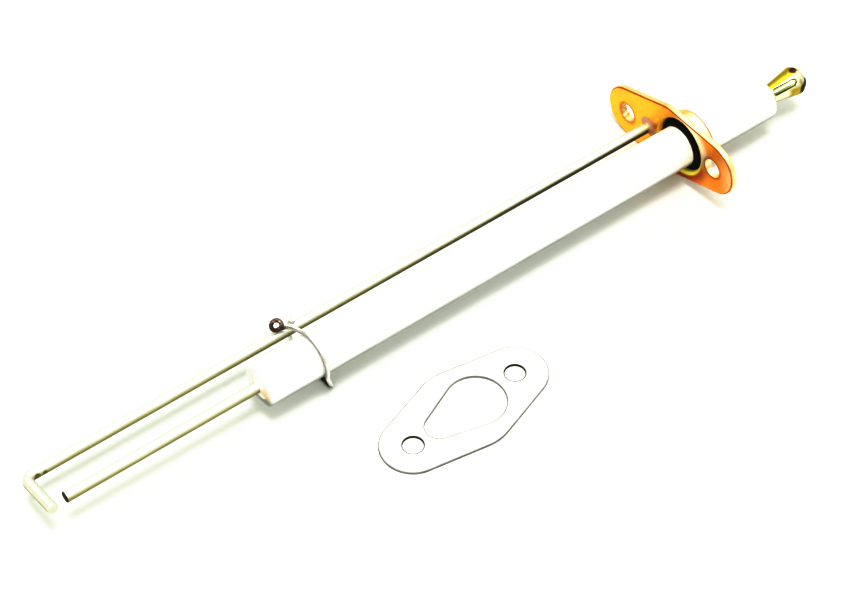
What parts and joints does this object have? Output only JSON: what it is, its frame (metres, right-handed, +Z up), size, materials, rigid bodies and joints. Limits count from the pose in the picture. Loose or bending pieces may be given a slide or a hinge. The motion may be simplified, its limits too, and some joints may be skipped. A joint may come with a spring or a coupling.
{
  "type": "flame sensor probe",
  "caption": "Flame sensor probe: ceramic-insulated rod in a copper-coloured flange, with a hooked earth rod, a wire clip, a slotted brass push-on terminal and a loose gasket",
  "frame": {"origin": "on the floor, under the middle of the object's footprint as it lies with its gasket beside it", "axes": "+X along the probe from the flame end to the terminal, +Z up from the floor, +Y towards the earth rod's side"},
  "size_m": [0.246, 0.0718, 0.0218],
  "materials": {
    "copper_plate": "copper-plated pressed steel, bright with orange-brown drawing marks",
    "white_ceramic": "white glazed alumina",
    "heat_proof_steel": "drawn heat-resisting alloy rod, straw-tinted",
    "braze": "dull pink-grey braze fillet",
    "black_packing": "matt black packing",
    "cement": "dull yellow-brown electrode cement",
    "brass": "bright turned brass",
    "bright_wire": "bright drawn spring wire",
    "white_fibre": "flat white fibre sheet, cut edges"
  },
  "bodies": {
    "probe": {"mounting_flange": "copper_plate", "ceramic_insulator": "white_ceramic", "sensing_electrode": "heat_proof_steel", "earth_electrode": "heat_proof_steel", "earth_braze_ring": "braze", "seal_packing": "black_packing", "front_cement": "cement", "rear_cement": "cement", "terminal_stud": "brass", "terminal_cage": "brass"},
    "clip": {"wire_clip": "bright_wire"},
    "loose_gasket": {"gasket": "white_fibre"}
  },
  "joints": [
    {"name": "clip_slide", "type": "slide", "parent": "probe", "child": "clip", "axis": [1, 0, 0], "range_m": [-0.014, 0.114]},
    {"name": "gasket_lift", "type": "slide", "parent": "probe", "child": "loose_gasket", "axis": [0, 0, 1], "range_m": [0, 0.06]}
  ]
}
